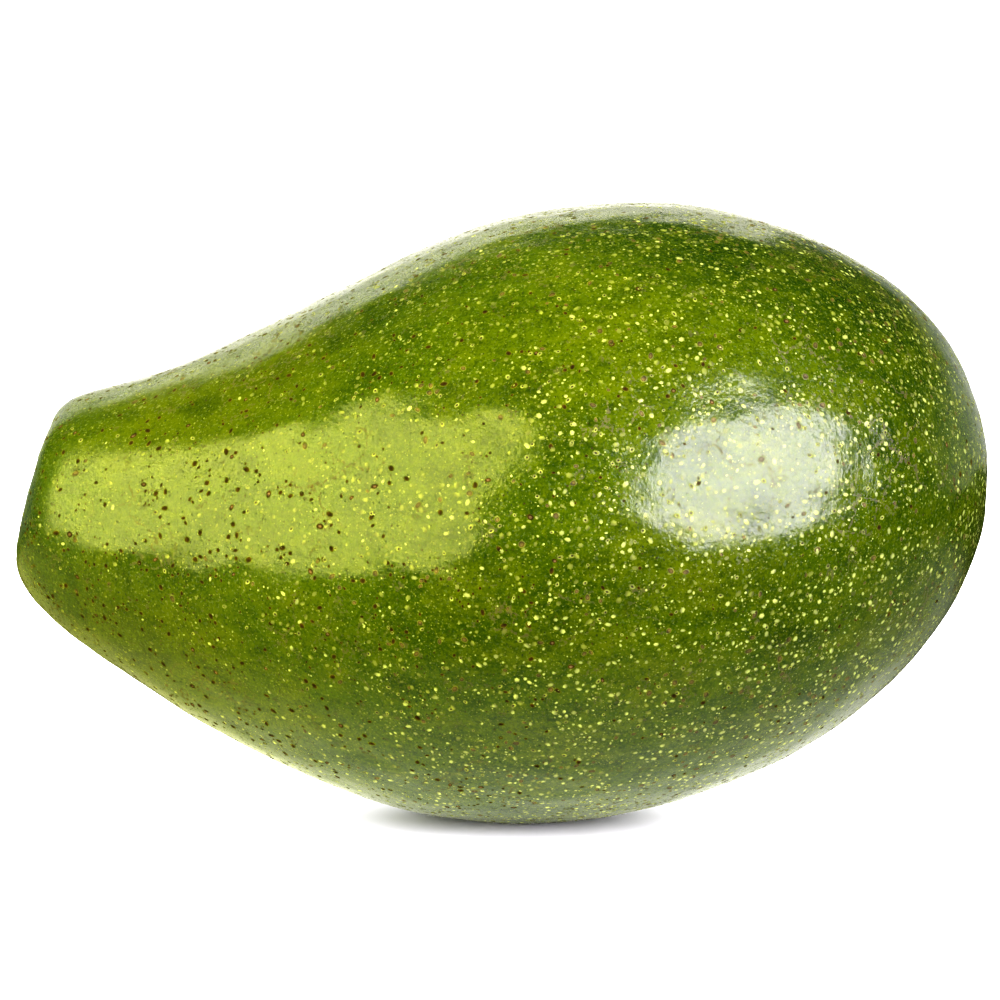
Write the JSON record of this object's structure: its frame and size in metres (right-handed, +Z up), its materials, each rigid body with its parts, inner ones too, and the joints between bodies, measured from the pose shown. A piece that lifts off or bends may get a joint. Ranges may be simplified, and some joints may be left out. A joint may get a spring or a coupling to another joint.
{
  "type": "avocado",
  "caption": "Whole smooth-skinned green avocado lying on its side, with a flattened stem end, a broad neck and a round belly.",
  "frame": {"origin": "centre of the small flat spot on the underside that the fruit rests on", "axes": "+X along the fruit towards the blossom end, with the stem end at -X, +Y sideways away from the viewer, +Z up"},
  "size_m": [0.1403, 0.0908, 0.0889],
  "materials": {
    "avocado_skin": "smooth glossy green fruit skin with small pale yellow and brown lenticels"
  },
  "bodies": {
    "root": {"avocado": "avocado_skin"}
  },
  "joints": []
}
